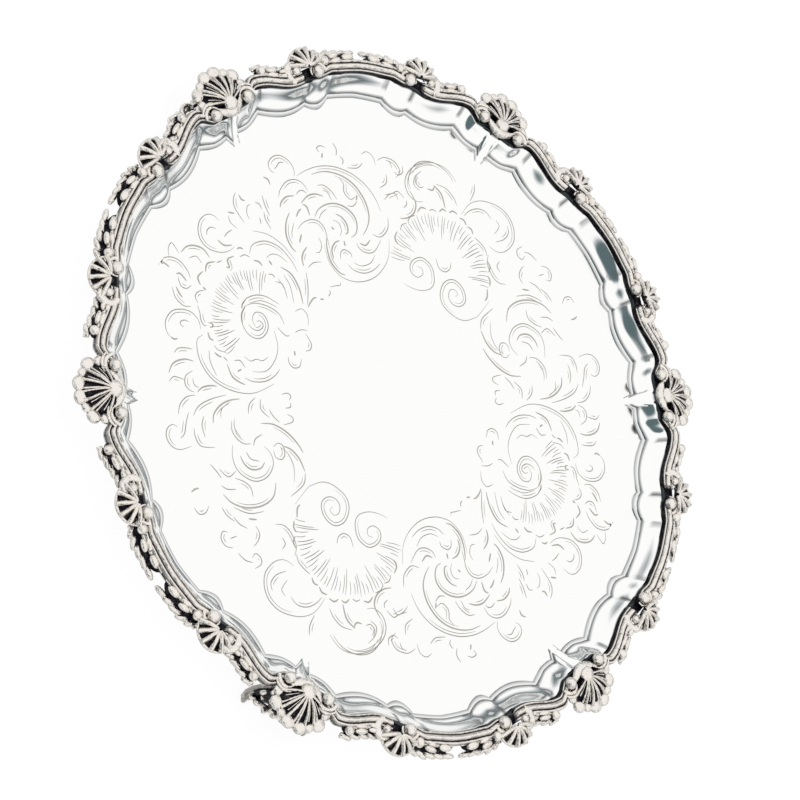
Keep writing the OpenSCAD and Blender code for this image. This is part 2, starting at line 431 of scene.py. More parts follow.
SPIRAL_SHELL = [
    (FIRM, (-69.6, 31.4), (-68, 29.6), (-65.4, 28.8), (-63, 30), (-62.6, 31.6), (-64, 33), (-65.6, 32.6)),
    (FIRM, (-66, 30), (-67.4, 33), (-66.6, 35.6), (-64.6, 36.8), (-61.6, 35.8), (-60, 32.4), (-60.6, 29),
     (-63.4, 26), (-67, 25.4), (-70.6, 27.4), (-72.6, 31.4), (-72.4, 35.6), (-70, 39.4)),
    (BOLD, (-72.6, 31.4), (-72.4, 35.6), (-70, 39.4)),
    (FIRM, (-70, 39.4), (-65.6, 40.6), (-60.6, 40), (-56, 38), (-53.4, 35.6), (-51.8, 31.6)),
    (BOLD, (-72, 38), (-71.4, 40), (-69.6, 42)),
    (FIRM, (-71.4, 40), (-69, 42.6), (-64, 44.2), (-59, 43.6), (-53, 40.4)),
    (FINE, (-68, 40.6), (-62, 41.8), (-57, 40.4), (-54.4, 39)),
    (BOLD, (-87.4, 53.4), (-86, 57), (-82, 58)),
    (FIRM, (-81.4, 57.6), (-78.6, 58.6)),
    (BOLD, (-77, 56), (-75.4, 55.8), (-75.8, 59.2), (-72.4, 60.8)),
    (FIRM, (-69.6, 60.6), (-67, 61.6), (-64.6, 60.6)),
    (BOLD, (-63, 59.4), (-60.4, 58.8), (-59, 57)),
    (BOLD, (-70.6, 64), (-69, 64.6), (-67.4, 64)),
    (BOLD, (-90.6, 47.6), (-91.4, 51), (-88.6, 53.6)),
    (FIRM, (-89, 45.4), (-92, 44.8), (-93.8, 42.8), (-93, 39.8)),
    (BOLD, (-89.6, 46.8), (-88.2, 45.6)),
    (FIRM, (-93.4, 39), (-92.6, 35.6), (-92.6, 33), (-91.6, 30.6), (-90, 30.2)),
    (BOLD, (-89, 31.6), (-87.4, 31.2), (-87.2, 30), (-88.8, 29.6)),
    (BOLD, (-90, 27.6), (-89.4, 25), (-87.6, 24)),
    (FIRM, (-53.4, 50.4), (-50.4, 49.6), (-49, 46.4)),
    (FIRM, (-56.6, 53.6), (-54.4, 53.4), (-53.4, 52)),
    (BOLD, (-55.4, 59.6), (-54, 57.6)),
    (BOLD, (-50, 57), (-45, 54), (-42, 48), (-41, 41)),
    (FINE, (-49, 53.6), (-46.4, 49), (-45.6, 41)),
    (FINE, (-52, 52), (-49.4, 47.4), (-48.6, 43)),
    (FINE, (-56.4, 60.6), (-53.6, 62.4), (-50, 62), (-46, 59)),
    (FIRM, (-64.6, 62), (-63, 65.6), (-60, 67.4), (-55, 68), (-49, 65.6), (-44, 60), (-41.6, 55)),
    (FINE, (-62, 72.4), (-54, 71), (-47, 66.4), (-42, 60)),
    (FIRM, (-92.4, 26.4), (-95.6, 24), (-96, 18), (-94, 12), (-90, 7), (-84, 3.6), (-77, 1.8), (-70, 2.2),
     (-60.6, 6)),
    (FINE, (-90.4, 20), (-90.6, 15), (-88.4, 9)),
    (FINE, (-87.8, 22), (-86, 20), (-82, 19)),
    (BOLD, (-88, 19), (-86.4, 17.6), (-84.8, 17)),
    (FIRM, (-84, 17.2), (-82.2, 15.4)),
    (BOLD, (-82.6, 14), (-81, 9), (-78, 6.6), (-75, 5.4)),
    (FIRM, (-75, 8.4), (-71, 6.8), (-65, 7), (-60, 9.4), (-57, 12.4)),
    (FINE, (-71, 11), (-64, 11.4), (-59, 16), (-56.6, 22), (-57.4, 29)),
    (FIRM, (-79, 15.6), (-76, 15.6), (-74, 12.4)),
    (BOLD, (-78, 11), (-76, 12)),
    (FINE, (-74, 17.6), (-71, 15.6), (-68, 16.4), (-65, 15.8), (-62, 17.6)),
    (FIRM, (-55.6, 30.4), (-52, 27), (-50, 27)),
    (FINE, (-45.6, 37.6), (-42, 38.8), (-39.6, 36), (-39.8, 31.6)),
    (FIRM, (-41.8, 28), (-39.6, 23.6), (-40.6, 21), (-43, 20.4)),
    (FINE, (-47, 28.4), (-44, 29.6), (-40.6, 29.4)),
    (FIRM, (-52, 18), (-52, 15), (-50, 13), (-47, 13.6), (-45.6, 17)),
    (BOLD, (-48.6, 20.4), (-48.6, 18.2)),
]
SIDE_LEAVES = [
    (BOLD, (-98, 61.4), (-95, 64), (-91, 64.6), (-87, 63.2), (-84.4, 59.6)),
    (FIRM, (-109.6, 55.6), (-107, 58.4), (-103, 59.2), (-99, 57.6), (-96, 53.6), (-95, 50.4)),
    (BOLD, (-109.4, 55.8), (-107, 56.6), (-104.4, 54.8)),
    (FINE, (-104, 59), (-103.8, 63), (-102, 65.4), (-100.4, 63.4), (-99, 61)),
    (FINE, (-108, 60), (-108.4, 61.6), (-106.8, 61.8)),
    (BOLD, (-101.6, 52), (-99.6, 52.2), (-97, 49)),
    (FIRM, (-101, 51), (-100, 47), (-97.4, 46), (-95, 47.4)),
    (BOLD, (-102.4, 46.6), (-101.4, 44), (-100, 42)),
    (FIRM, (-104.2, 46.4), (-103.4, 42), (-100, 38.6), (-96.4, 38.4)),
    (FINE, (-94.6, 59), (-91, 60), (-88.6, 57)),
    (FIRM, (-93, 28.6), (-94, 33), (-97, 36), (-101.4, 37), (-106, 36), (-109.4, 32), (-109.6, 27.6),
     (-108, 25)),
    (BOLD, (-108, 25.2), (-106.4, 24.2), (-104.8, 24.6)),
    (FIRM, (-101, 29.4), (-102.6, 30.6), (-102, 32), (-100, 32.4), (-98.4, 31.6)),
    (FIRM, (-107.4, 18.4), (-105, 20.4), (-101, 20.6), (-98.4, 20)),
    (BOLD, (-111, 10), (-109, 13.4), (-106, 15.2), (-102, 15.8), (-98.6, 15)),
    (FIRM, (-111.4, 6.4), (-109, 8.4), (-106.6, 8), (-104, 7.2)),
    (FIRM, (-99.6, 11), (-103, 9), (-104, 5.6), (-102.4, 3), (-100, 2)),
    (FINE, (-100, 8), (-99.6, 5), (-97.6, 4)),
    (BOLD, (-98.6, 2), (-96, 4), (-92, 4.8), (-89, 4.6)),
    (FIRM, (-77.4, 76), (-80, 78.2), (-83.4, 78.4), (-87, 75.6), (-88.4, 71), (-87.4, 66.6), (-84, 63.4),
     (-79, 62.2), (-75, 62.8), (-71.6, 64.8)),
    (FIRM, (-84.4, 69.4), (-84, 71.4), (-82, 73), (-79.6, 72.4)),
    (BOLD, (-79.4, 67.6), (-76.6, 65.4), (-72.6, 65.6)),
    (FIRM, (-76, 69), (-74, 71), (-71.6, 72.4)),
    (FIRM, (-67.4, 89), (-69, 86), (-68.8, 82), (-65, 75.4)),
    (BOLD, (-66, 88), (-65, 86), (-63.4, 85.6)),
    (BOLD, (-72.6, 80), (-71, 79.8), (-69.4, 79.6)),
    (FINE, (-72.6, 78.6), (-72, 75.6), (-69, 73)),
    (FINE, (-62.4, 77.4), (-63.2, 80), (-62.6, 83), (-61, 84)),
    (FIRM, (-58.4, 85), (-56.4, 84.4), (-55.4, 82)),
    (FIRM, (-54.6, 81), (-54.2, 77.6), (-52, 73.4)),
    (FIRM, (-54.4, 88.4), (-53.6, 84), (-51.8, 79.4)),
    (FIRM, (-57, 78.4), (-56.8, 75.6)),
]
TOP_SCROLL = [
    (BOLD, (-41.6, 81.4), (-44, 77), (-44.8, 71), (-43, 66), (-41, 64)),
    (FINE, (-40, 77), (-41.6, 73), (-42, 70)),
    (BOLD, (-46, 83.4), (-45, 86), (-42, 88.4), (-38, 89)),
    (FIRM, (-46, 88), (-45, 91), (-41.4, 95), (-37, 96.4), (-33, 95), (-30.6, 91.4)),
    (FIRM, (-37, 89.6), (-35, 91.4), (-33, 91.6), (-31.6, 90.4)),
    (BOLD, (-35, 86), (-31, 89.4), (-27, 90.4), (-23, 89.6)),
    (BOLD, (-34.4, 85.4), (-32.4, 84.4), (-31.4, 80.4)),
    (BOLD, (-38.4, 79.6), (-37, 82), (-35.4, 83.4)),
    (FIRM, (-38.6, 74), (-35.6, 77), (-31, 78.8), (-27, 78), (-24.6, 75), (-24, 71), (-23.4, 66)),
    (BOLD, (-38, 57.6), (-38.4, 61), (-37.2, 64), (-35, 66.4)),
    (BOLD, (-37, 72), (-38.6, 68)),
    (FINE, (-28.6, 71), (-27.4, 68), (-28.6, 64.6), (-31, 64)),
    (FIRM, (-37.2, 55), (-37.4, 48), (-38.8, 40.4)),
    (FINE, (-36, 57), (-33, 59.4), (-28.6, 60)),
    (BOLD, (-38.6, 39.6), (-37, 42), (-35, 43.8), (-33.6, 44)),
    (BOLD, (-32, 43.4), (-30, 43.4)),
    (FIRM, (-27.6, 44.8), (-26.4, 46), (-26.4, 47.6)),
    (FINE, (-26, 49), (-23, 49.6), (-20.6, 50), (-20.4, 51.4)),
    (FIRM, (-35.6, 98), (-30, 101), (-23, 103.2), (-15, 103.4), (-7, 101), (-0.6, 96.6), (4, 90.6),
     (6.4, 84)),
    (BOLD, (-27.6, 99.2), (-22, 100.8), (-16, 100.6), (-10, 98.6), (-5, 94.6), (-1.4, 88.4), (-0.4, 82),
     (-2, 77), (-5, 73)),
    (BOLD, (-29, 80), (-26.4, 83.6), (-22, 86), (-17, 86.6), (-12, 85), (-8.4, 81.6), (-7.4, 77.6),
     (-8.6, 73.6), (-11.4, 71.6)),
    (FINE, (-27, 79), (-25, 82), (-22, 84)),
    (BOLD, (-18, 82), (-15, 80.6), (-12.8, 77.6), (-12.8, 74), (-14.4, 73)),
    (FINE, (-20, 79), (-17, 78), (-16, 75), (-17, 72)),
    (BOLD, (-21, 76), (-19.8, 74.8)),
    (BOLD, (-24.4, 71), (-24.8, 66), (-23.6, 60), (-20, 55.6), (-17, 54.6)),
    (FINE, (-26, 68), (-25, 61), (-21, 55), (-16, 52.4), (-10, 51.8), (-3, 53.6), (3, 58), (7, 64),
     (8.6, 72)),
    (FIRM, (-15, 59.4), (-12, 56.8), (-7, 55.8), (-2, 57.4), (2, 60.4)),
    (FINE, (-12, 60.4), (-8, 59), (-3, 60.6), (0, 64.4)),
    (FIRM, (-9, 69.4), (-7.6, 66.6), (-4, 65), (0, 66), (4.4, 71.4)),
    (BOLD, (-7.4, 69.4), (-4.4, 68.4), (-1.6, 71)),
    (BOLD, (-22, 61.6), (-22.4, 65.6), (-20.4, 68.8), (-17.6, 70)),
    (FIRM, (-18.4, 61.6), (-18, 64.6), (-16, 66), (-13, 64.6), (-12.4, 62.4)),
    (BOLD, (-15.4, 70), (-15.2, 67.6)),
    (FIRM, (-25.4, 94.4), (-22, 94.6), (-18.4, 92), (-16, 88.4)),
    (FINE, (-23, 92.4), (-20.6, 91.4), (-19, 88)),
    (FIRM, (-13.6, 98.4), (-11.6, 96), (-11.8, 92), (-9, 89), (-6, 90.4)),
    (FIRM, (-11, 86), (-8, 86), (-5.6, 88.4)),
    (BOLD, (-5.9, 88.6), (-5.3, 91.2)),
    (FIRM, (-36.8, 97.6), (-36.4, 101), (-38.4, 104.6), (-42.4, 106.8), (-46.4, 106), (-49, 103),
     (-48.6, 100), (-46.4, 98.6)),
    (FIRM, (-46.4, 100.4), (-44.8, 102), (-43.4, 103.6), (-41, 103.8)),
    (BOLD, (-52.6, 96.6), (-50.4, 95.6), (-49.6, 93.4)),
    (FIRM, (-22, 109.6), (-23, 111.4), (-21, 112.6), (-18.4, 112)),
    (BOLD, (-20.4, 109.4), (-21, 107)),
    (FIRM, (-14.4, 114.4), (-12.8, 111.6), (-13.4, 108.4)),
    (FIRM, (-11.4, 108.6), (-10, 106.6), (-10.8, 104.6)),
    (FIRM, (-8.4, 103.4), (-3, 103.6), (0, 106)),
    (FINE, (0, 110), (3, 111.4), (6, 109.6), (7, 105.6)),
    (FIRM, (8, 107.6), (12.4, 109.4), (17.6, 107.6), (19.6, 103.4), (17, 100.4)),
    (FINE, (13, 108.4), (15, 107), (15.6, 104.6)),
    (FIRM, (12, 101.6), (11.4, 97.6), (7.4, 95)),
    (FIRM, (9, 89.6), (11.6, 92), (15, 93), (16.6, 90)),
    (FIRM, (0, 73.6), (4.4, 72.6), (8.6, 76.4), (9.6, 81.6)),
    (FIRM, (50, 100), (46, 105.6), (39, 108.4), (31, 107.6), (24.4, 103.6), (21.6, 98.4), (22.6, 93),
     (26.4, 90), (30, 90)),
    (FIRM, (31.6, 104.4), (27.6, 101.4), (26.4, 97.6), (29, 95)),
    (BOLD, (37, 98), (40.6, 94), (41.6, 87.4)),
]
WIDE_SHELL = [
    (FIRM, (-58.6, -45.4), (-51.4, -38.6), (-48, -37), (-44, -36), (-40, -36.6), (-36, -39), (-32.4, -43),
     (-32, -48), (-35, -53), (-40, -54.6), (-44, -52), (-45.6, -48), (-45, -44.4), (-42, -42.4),
     (-38.4, -43), (-36.4, -46), (-37.4, -49.4), (-40, -50), (-41.6, -48), (-40, -46.6)),
    (FIRM, (-13, -52), (-17, -50), (-22, -49), (-27, -50), (-29.6, -53), (-30, -58), (-28.6, -61.4),
     (-25, -64), (-21, -63.4), (-18, -60.6), (-18, -57), (-21, -55), (-24, -56.4), (-24, -59), (-21.6, -60)),
    (FIRM, (-40.4, -62.4), (-39.2, -59.4), (-36.4, -58), (-33.4, -59.6), (-32.4, -64)),
    (BOLD, (-56, -45.4), (-57.6, -47), (-58.4, -51)),
    (BOLD, (-60, -52), (-60.6, -55), (-59.6, -57)),
    (BOLD, (-60.4, -58.6), (-61.8, -61), (-60.8, -64)),
    (FIRM, (-61, -66), (-60.4, -69.6), (-57.6, -73), (-55.6, -74.6)),
    (BOLD, (-55, -76), (-54.4, -78.4), (-52.4, -79.4)),
    (BOLD, (-52, -80), (-51, -82.4), (-48.6, -83.4)),
    (BOLD, (-48, -85), (-45.6, -86.4), (-43.4, -85.4)),
    (BOLD, (-42, -86), (-40, -87), (-38, -85.6)),
    (FIRM, (-36.4, -85.6), (-34.6, -86.6), (-32.6, -86)),
    (BOLD, (-31, -86.6), (-28.4, -87.2), (-26, -85)),
    (FIRM, (-24.6, -83.4), (-21.6, -82.4), (-20, -80)),
    (FIRM, (-19.4, -79.6), (-16.6, -78.6), (-15.4, -76)),
    (BOLD, (-13, -69.6), (-11.8, -72.4), (-13.6, -75.6)),
]
LOWER_SCROLL = [
    (BOLD, (-70, -11), (-64, -11.4), (-58, -14.6), (-53.4, -19.4), (-51, -23.6)),
    (BOLD, (-61, -20.6), (-57, -22), (-53.4, -26), (-51.4, -31.6)),
    (FIRM, (-51.4, -32), (-53, -37), (-60, -42)),
    (FINE, (-62, -21), (-58.6, -24), (-56.6, -29.6), (-57.4, -36)),
    (FIRM, (-65.4, -21), (-63, -19.4), (-60.6, -20.6), (-60.2, -24), (-62, -26.2), (-64.8, -25.4),
     (-65.6, -22.4)),
    (FIRM, (-85, -20), (-85.8, -25), (-84.6, -30), (-81, -33.6), (-75.6, -35.4), (-70, -33.4),
     (-66.6, -28.6), (-67, -24), (-70, -20.6)),
    (BOLD, (-82, -24.6), (-80.6, -28), (-77.4, -30.4), (-73, -30), (-70.6, -27.4)),
    (FIRM, (-79, -23), (-77, -26), (-73, -27)),
    (BOLD, (-92.6, -40.6), (-88.6, -44.4), (-82, -46.4), (-74.4, -45.6), (-68.6, -42), (-66.4, -36)),
    (FIRM, (-93, -37), (-90, -38.6), (-86, -38.6)),
    (FIRM, (-88.4, -46), (-84, -48), (-80, -48.8), (-74, -48)),
    (BOLD, (-82, -51), (-78, -51.4)),
    (BOLD, (-93, -11), (-92, -7), (-88.4, -3.4), (-84, -1.4), (-78.6, -0.6)),
    (FIRM, (-102, -8), (-99, -4), (-93, -1), (-85, 1)),
    (FIRM, (-109, -7.4), (-107.4, -3), (-104, 0), (-99.6, 0.8)),
    (FINE, (-89, -9), (-88, -5), (-83.6, -2)),
    (FIRM, (-84, -10), (-84.4, -14), (-82.6, -17.4), (-79.4, -19.6), (-76, -19.6)),
    (FINE, (-82.6, -9), (-83, -13), (-80.6, -17)),
    (FIRM, (-75, -20.6), (-73.6, -17.6), (-70, -15.6)),
    (FIRM, (-75.4, -7), (-74.4, -3), (-71, 0)),
    (FIRM, (-68.6, -0.6), (-69, -5), (-65.4, -8.6)),
    (FIRM, (-65, -5), (-63.4, -8), (-60.6, -10.6)),
    (FIRM, (-58, 1.4), (-55, 2), (-53.4, 0.6), (-54.6, -1)),
    (FIRM, (-54, -2), (-54.4, -4), (-57, -4.4)),
    (FIRM, (-56.6, -7), (-54, -8.4), (-54.4, -10.4), (-59, -11.6)),
    (FIRM, (-110, -12.6), (-112.4, -11.6), (-115, -13.4), (-115.8, -17), (-113.8, -20.6), (-110, -22),
     (-104.6, -20.6)),
    (FIRM, (-109.4, -17.4), (-107.2, -15.4), (-105.8, -11), (-104, -6.4)),
    (FIRM, (-97, -8), (-98.4, -12), (-97.6, -17)),
    (FIRM, (-102.4, -13), (-102.2, -17), (-100, -20.6), (-93.6, -21.2)),
    (FIRM, (-97, -28), (-94.4, -31), (-92.4, -34)),
    (FIRM, (-93, -30), (-89, -33.4), (-85, -31)),
    (FIRM, (-86, -34), (-82, -35.4), (-79, -38), (-78.4, -42)),
    (BOLD, (-107.4, -39.6), (-105.6, -38.4), (-103.6, -38)),
    (FIRM, (-107, -46), (-105, -48.6), (-102, -48.2), (-100, -45.4)),
    (FIRM, (-94, -46), (-92, -49.4), (-88.6, -52)),
    (FIRM, (-89, -50), (-86.6, -53), (-83, -55)),
    (FIRM, (-92.6, -56.4), (-95, -56), (-96.2, -59), (-94.4, -62), (-91, -62.8)),
    (FINE, (-92, -59), (-88.6, -58)),
    (FIRM, (-79, -54), (-77.6, -57), (-78.6, -60), (-81, -62.4)),
    (FIRM, (-89, -65), (-86, -68), (-82.6, -69)),
    (FIRM, (-82.6, -67.2), (-80.6, -65.4), (-78.4, -67.4), (-78.8, -70), (-82, -71.6)),
    (FIRM, (-69.4, -53.4), (-65.4, -54), (-62.4, -57), (-60.6, -62.6), (-62, -67)),
    (FIRM, (-67, -59), (-65.8, -61.6), (-67.6, -64)),
    (FIRM, (-63, -71), (-66.6, -68.6), (-70.4, -68.4), (-74.4, -70.4), (-77.6, -74), (-78.6, -79.4),
     (-77.2, -84.6), (-73.4, -88.8), (-68, -91.2), (-61.6, -92), (-55.6, -90.2), (-50, -85)),
    (FIRM, (-75, -81), (-75.2, -77.6), (-72, -74.4), (-67, -73)),
    (FINE, (-69, -83.4), (-70.4, -80.4), (-67, -76.6)),
    (FIRM, (-66.6, -83.6), (-64, -87), (-59.6, -88.2), (-55, -87), (-51.4, -84.4)),
    (FIRM, (-48.4, -89), (-47, -93), (-43.6, -96.8), (-38.4, -98.6)),
    (BOLD, (-37.6, -97.6), (-36, -95.6), (-33.4, -96.2)),
    (FIRM, (-31.6, -97), (-29.2, -96.6), (-27.4, -99), (-28.6, -102)),
    (FIRM, (-48.4, -100), (-46, -104), (-41.6, -107.4), (-36, -109), (-30, -108), (-25.6, -104),
     (-23.6, -99), (-24.2, -95.4)),
    (BOLD, (-16, -81.6), (-20, -82), (-24, -84.4), (-25.8, -89), (-23.6, -94.6)),
    (FIRM, (-21, -90), (-20.6, -88), (-18.8, -86.6)),
    (FIRM, (-20, -91), (-17, -94), (-14, -93), (-9.6, -92)),
    (FIRM, (-21.4, -106), (-21, -103), (-18.4, -101.6), (-16.4, -103)),
    (FIRM, (-60, -100), (-59.2, -96), (-56, -91.4)),
]

# The ribs of the two engraved shells: centre, the radii they run between, first and last angle
RIB_FANS = [((-64.6, 32.6), 13.5, 23.5, 78, 218), ((-34, -58), 16, 27, 172, 350)]
# Ribs of one lobe: angle from its middle and share of the full length
LOBE_RIBS = ((-6.5, 0.45), (-2.5, 0.85), (1.5, 1.0), (5.5, 0.6))
LOBE_STEP = 17
# How unevenly they are cut: angle, start in millimetres, bend and least and greatest share of length
RIB_SWAY, RIB_SLIP, RIB_BEND, RIB_SHORT, RIB_LONG = 0.9, 1.2, 0.3, 0.85, 1.1


def curve_through(points, steps=7):
    """Smooth curve through points: a Catmull-Rom spline, which starts and ends at the ends."""
    p = np.array([points[0], *points, points[-1]], float)
    t = np.linspace(0, 1, steps, endpoint=False)[:, None]
    spans = [0.5 * (2 * b + (c - a) * t + (2 * a - 5 * b + 4 * c - d) * t**2
                    + (3 * b - a - 3 * c + d) * t**3)
             for a, b, c, d in zip(p, p[1:], p[2:], p[3:])]
    return np.vstack(spans + [p[-1:]])


def rib_cuts():
    """Short tapering ribs, four to a lobe of the shell, a little uneven as cut by hand."""
    rng = np.random.default_rng(7)
    cuts = []
    for centre, near, far, first, last in RIB_FANS:
        for lobe in np.arange(first, last, LOBE_STEP):
            for aside, share in LOBE_RIBS:
                a = math.radians(lobe + aside + rng.uniform(-RIB_SWAY, RIB_SWAY))
                r0 = far - rng.uniform(0, RIB_SLIP)
                r1 = r0 - (far - near) * share * rng.uniform(RIB_SHORT, RIB_LONG)
                way = np.array([math.cos(a), math.sin(a)])
                bent = np.array([-way[1], way[0]]) * RIB_BEND
                middle = centre + way * (r0 + r1) / 2 + bent
                width = FINE if share > 0.8 else HAIR
                cuts.append((width, centre + way * r0, middle, centre + way * r1))
    return cuts


def echo_cut(line):
    """The middle half of a long cut, moved to its hollow side; None beside a short one."""
    steps = np.diff(line, axis=0)
    if np.linalg.norm(steps, axis=1).sum() < ECHO_FROM:
        return None
    bend = np.sum(steps[:-1, 0] * steps[1:, 1] - steps[:-1, 1] * steps[1:, 0])
    along = np.gradient(line, axis=0)
    along /= np.linalg.norm(along, axis=1)[:, None]
    aside = np.stack([-along[:, 1], along[:, 0]], 1) * math.copysign(ECHO_GAP, bend)
    return (line + aside)[len(line) // 4 : len(line) * 3 // 4]


def engraving():
    """Every cut of the whole band as (curve, width)."""
    drawn = SPIRAL_SHELL + SIDE_LEAVES + TOP_SCROLL + WIDE_SHELL + LOWER_SCROLL
    cuts = [(curve_through(points), width) for width, *points in drawn]
    echoes = [(echo_cut(line), HAIR) for line, width in cuts if width > FINE]
    cuts += [cut for cut in echoes if cut[0] is not None]
    cuts += [(curve_through(points), width) for width, *points in rib_cuts()]
    scale = FLOOR_R / DRAWN_FOR_R
    return [(line * scale * side, width) for line, width in cuts for side in HALVES]


def engraved_floor(cuts):
    """The floor inside the border, cut through by every groove of the engraving."""
    ring = [Vector((x, y)) for x, y, _ in edge_ring(0)]
    points, edges, faces, depth = list(ring), [], [list(range(len(ring)))], [0.0] * len(ring)
    for line, width in cuts:
        t = np.linspace(0, 1, len(line))
        half = width / 2 * (END_SHARE + (1 - END_SHARE) * np.sin(np.pi * t) ** 0.6)
        along = np.gradient(line, axis=0)
        along /= np.linalg.norm(along, axis=1)[:, None]
        side = np.stack([-along[:, 1], along[:, 0]], 1) * half[:, None]
        start = len(points)
        outline = list(line - side) + list((line + side)[::-1])
        points += [Vector(p) for p in outline]
        depth += [0.0] * len(outline)
        faces.append(list(range(start, start + len(outline))))
        start = len(points)
        points += [Vector(p) for p in line[1:-1]]
        depth += list(GROOVE_DEPTH * (half[1:-1] / (width / 2)))
        edges += [(start + k, start + k + 1) for k in range(len(line) - 3)]
    out, _, tris, from_points, _, from_faces = delaunay_2d_cdt(points, edges, faces, INSIDE_ONLY, CUT_GAP)
    verts = [(p.x, p.y, FLOOR_Z - max([depth[i] for i in ids], default=0.0))
             for p, ids in zip(out, from_points)]
    floor = mesh_from("floor", verts, tris, [0.0] * len(verts))
    floor.data.materials.append(BUFFED)
    floor.data.materials.append(CUT)
    in_cut = [int(any(i > 0 for i in ids)) for ids in from_faces]
    floor.data.polygons.foreach_set("material_index", in_cut)
    return floor


# ---- Camera, light and floor -------------------------------------------------------------------
# The camera looks down from 52 degrees, from the near side of the plate. Its place is from the
# floor's middle, in floor radii.
LENS_MM, SENSOR_MM = 124.2, 36.0
VIEW_FORWARD = Vector((0.58115, 0.20758, -0.78687))
VIEW_RIGHT = Vector((0.81375, -0.13802, 0.56459))
VIEW_PLACE = Vector((-5.39117, -1.93501, 7.32262))
# The room beyond the tent, and the opening in the tent on the near side
ROOM_GREY, OPENING_GREY = "#566468", "#5A6B6F"
OPENING_WAY = (-0.87, -0.31, 0.3)
TENT_STRENGTH = 1.05
PAPER_M = 1.6


def make_camera():
    data = bpy.data.cameras.new("camera")
    data.lens, data.sensor_width = LENS_MM, SENSOR_MM
    camera = bpy.data.objects.new("camera", data)
    bpy.context.scene.collection.objects.link(camera)
    up = VIEW_RIGHT.cross(VIEW_FORWARD)
    aim = Matrix((VIEW_RIGHT, up, -VIEW_FORWARD)).transposed().to_4x4()
    target = Vector((0, 0, FLOOR_Z)) * MM
    camera.matrix_world = Matrix.Translation(target + VIEW_PLACE * FLOOR_R * MM) @ aim
    bpy.context.scene.camera = camera


def make_world():
    """A white tent overhead that greys towards the room, with one dark opening on the near side."""
    world = bpy.data.worlds.new("light_tent")
    bpy.context.scene.world = world
    world.use_nodes = True
    tree = world.node_tree
    way = add(tree, "ShaderNodeTexCoord").outputs["Generated"]

    def share(axis, low, high):
        facing = add(tree, "ShaderNodeVectorMath",
                     {"operation": "DOT_PRODUCT", 1: Vector(axis).normalized()}, i0=way)
        return add(tree, "ShaderNodeMapRange",
                   {"interpolation_type": "SMOOTHSTEP", "From Min": low, "From Max": high},
                   Value=facing.outputs["Value"]).outputs[0]

    tent = add(tree, "ShaderNodeMix", {"data_type": "RGBA", 6: srgb(ROOM_GREY), 7: srgb("#FFFFFF")},
               i0=share((0, 0, 1), 0.02, 0.34))
    tone = add(tree, "ShaderNodeMix", {"data_type": "RGBA", 7: srgb(OPENING_GREY)},
               i0=share(OPENING_WAY, 0.87, 0.94), i6=tent.outputs[2])
    tree.links.new(tone.outputs[2], tree.nodes["Background"].inputs["Color"])
    tree.nodes["Background"].inputs["Strength"].default_value = TENT_STRENGTH


def make_floor():
    """Matt white sweep that glows a little, as paper lit from below does."""
    deselect()
    bpy.ops.mesh.primitive_plane_add(size=PAPER_M, location=(0, 0, 0))
    floor = bpy.context.object
    floor.name = "paper_sweep"
    material = bpy.data.materials.new("white_paper_lit_from_below")
    material.use_nodes = True
    shader = material.node_tree.nodes["Principled BSDF"]
    shader.inputs["Base Color"].default_value = srgb("#6A6A6A")
    shader.inputs["Roughness"].default_value = 0.9
    shader.inputs["Specular IOR Level"].default_value = 0.0
    shader.inputs["Emission Color"].default_value = srgb("#FFFFFF")
    shader.inputs["Emission Strength"].default_value = 0.9
    floor.data.materials.append(material)


# ---- Border pieces, made once in the sector of the shell at turn 0 ------------------------------
# The strip's section from its inner foot to its outer foot: how far across, how far above the
# lip, and dullness. Three reeds with two grooves, over an undercut on the inner side whose dark is oxide and
# painted shadow; the outer face carries painted shade.
SECTION = np.array([
    (0.9, -0.9, 1.0), (0.0, -0.7, 1.0), (0.0, 0.8, 1.0), (0.15, 1.2, 1.0), (0.35, 1.6, 0.1),
    (0.7, 1.75, 0.0), (1.05, 1.5, 0.5), (1.25, 1.2, 1.0), (1.45, 1.5, 0.6), (1.8, 2.1, 0.0),
    (2.4, 2.5, 0.0), (3.0, 2.5, 0.0), (3.5, 2.1, 0.2), (3.85, 1.6, 1.0), (4.1, 1.5, 1.0),
    (4.3, 1.85, 0.2), (4.6, 2.1, 0.0), (5.0, 2.0, 0.0), (5.4, 1.5, 0.4), (5.6, 0.9, 0.8),
    (5.6, -0.9, 1.0), (0.9, -0.9, 1.0),
])
# Gaps of the strip, where it dips under a shell: middle and half width in degrees
GAPS = ((0.0, 3.9), (18.5, 1.0))
# How it dips: over how many degrees, to what share of its height, and how far out it steps
DIP_TURN, DIP_SHARE, DIP_OUT = 0.5, 0.25, 1.2
STRIP_STEPS = 240


def strip_outer(turn):
    return strip_inner(turn) + STRIP_W


def on_edge(turn, out, z):
    """A point beyond the strip's outer edge, and the edge's direction there in degrees."""
    turn = float(turn)
    here, ahead = (np.array(polar(strip_outer(np.array(t)) + out, t, z), float) for t in (turn, turn + 0.2))
    way = ahead - here
    return here, math.degrees(math.atan2(way[1], way[0]))


def make_strip():
    """The applied edge strip of one sector, drawn along the wave of the border."""
    turns = np.linspace(-SECTOR_TURN / 2, SECTOR_TURN / 2, STRIP_STEPS + 1)

    def place(u, v):
        turn = turns[np.rint(u * STRIP_STEPS).astype(int)]
        across, up, dark = SECTION[np.rint(v * (len(SECTION) - 1)).astype(int)].T
        full = np.ones_like(turn)
        for middle, half in GAPS:
            full = np.minimum(full, np.clip((np.abs(np.abs(turn) - middle) - half) / DIP_TURN, 0, 1))
        height = np.where(up > 0, up * (DIP_SHARE + (1 - DIP_SHARE) * full), up)
        radius = strip_inner(turn) + across + (1 - full) * DIP_OUT * (1 - across / STRIP_W)
        # Painted shade where the strip dips under a shell
        return (*polar(radius, turn, LIP_Z + height), np.maximum(dark, 1 - full))

    strip = skin("strip", STRIP_STEPS, len(SECTION) - 1, place)
    edit_all(lambda: bpy.ops.mesh.fill_holes(sides=0), outwards)
    smooth(strip, 30)
    return strip


